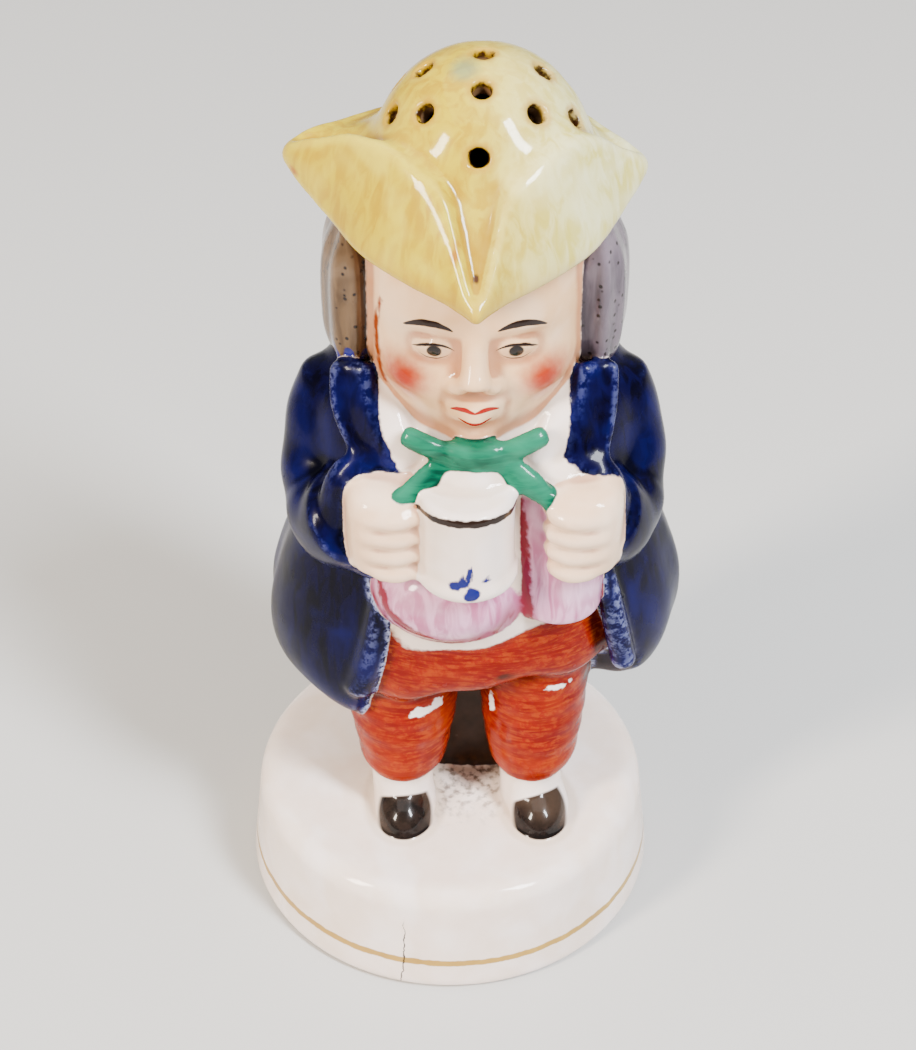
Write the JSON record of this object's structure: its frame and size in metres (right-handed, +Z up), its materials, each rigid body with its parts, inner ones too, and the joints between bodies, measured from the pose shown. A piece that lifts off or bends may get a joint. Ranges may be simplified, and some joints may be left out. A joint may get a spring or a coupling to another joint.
{
  "type": "toby pepper pot",
  "caption": "Hollow glazed earthenware pepper pot shaped as a stout standing figure in a cocked hat, holding a mug, on a round plinth.",
  "frame": {"origin": "on the surface the pot stands on, under the middle of its bounding box", "axes": "+Z up from the foot ring to the crown of the hat; -Y the way the figure faces; +X to the viewer's right when the viewer faces the figure"},
  "size_m": [0.0604, 0.0584, 0.1298],
  "materials": {
    "glazed_earthenware": "gloss"
  },
  "bodies": {
    "root": {"pepper_pot": "glazed_earthenware"}
  },
  "joints": []
}
